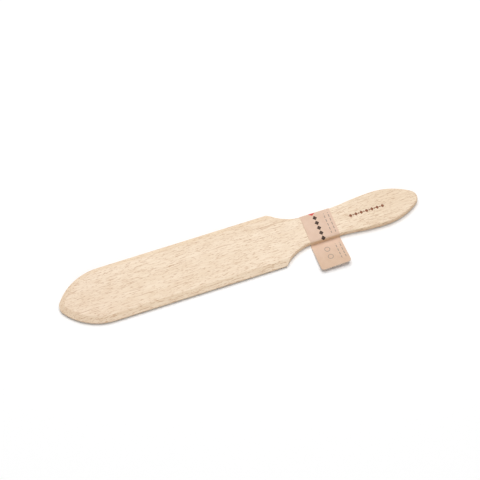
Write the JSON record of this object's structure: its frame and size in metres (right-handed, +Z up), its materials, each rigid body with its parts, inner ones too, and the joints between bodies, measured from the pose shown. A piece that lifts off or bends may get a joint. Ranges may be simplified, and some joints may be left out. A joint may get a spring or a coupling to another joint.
{
  "type": "crepe spatula",
  "caption": "Long flat beech crepe spatula with bevelled blade, pointed round tip, waisted neck and swelling grip, and a folded card label round the neck.",
  "frame": {"origin": "on the board's underside, on its long axis, halfway between the tip and the end of the grip", "axes": "+X along the board from the tip to the end of the grip, +Y across it away from the label's flag, +Z up through its thickness"},
  "size_m": [0.35, 0.0725, 0.0066],
  "materials": {
    "beech": "sanded, unvarnished",
    "kraft_card": "matt, uncoated",
    "adhesive": "clear tacky film"
  },
  "bodies": {
    "board": {"beech_board": "beech"},
    "label": {"label_band": "kraft_card"},
    "flag": {"label_front_ply": "kraft_card", "label_adhesive": "adhesive", "label_back_ply": "kraft_card"}
  },
  "joints": [
    {"name": "label_slide", "type": "slide", "parent": "board", "child": "label", "axis": [1, 0, 0], "range_m": [-0.0025, 0.0045]},
    {"name": "flag_crease", "type": "hinge", "parent": "label", "child": "flag", "pos_m": [0.077, -0.01597, 0], "axis": [-1, 0, 0], "range_deg": [-80, 80], "stiffness_Nm_per_rad": 0.004}
  ]
}
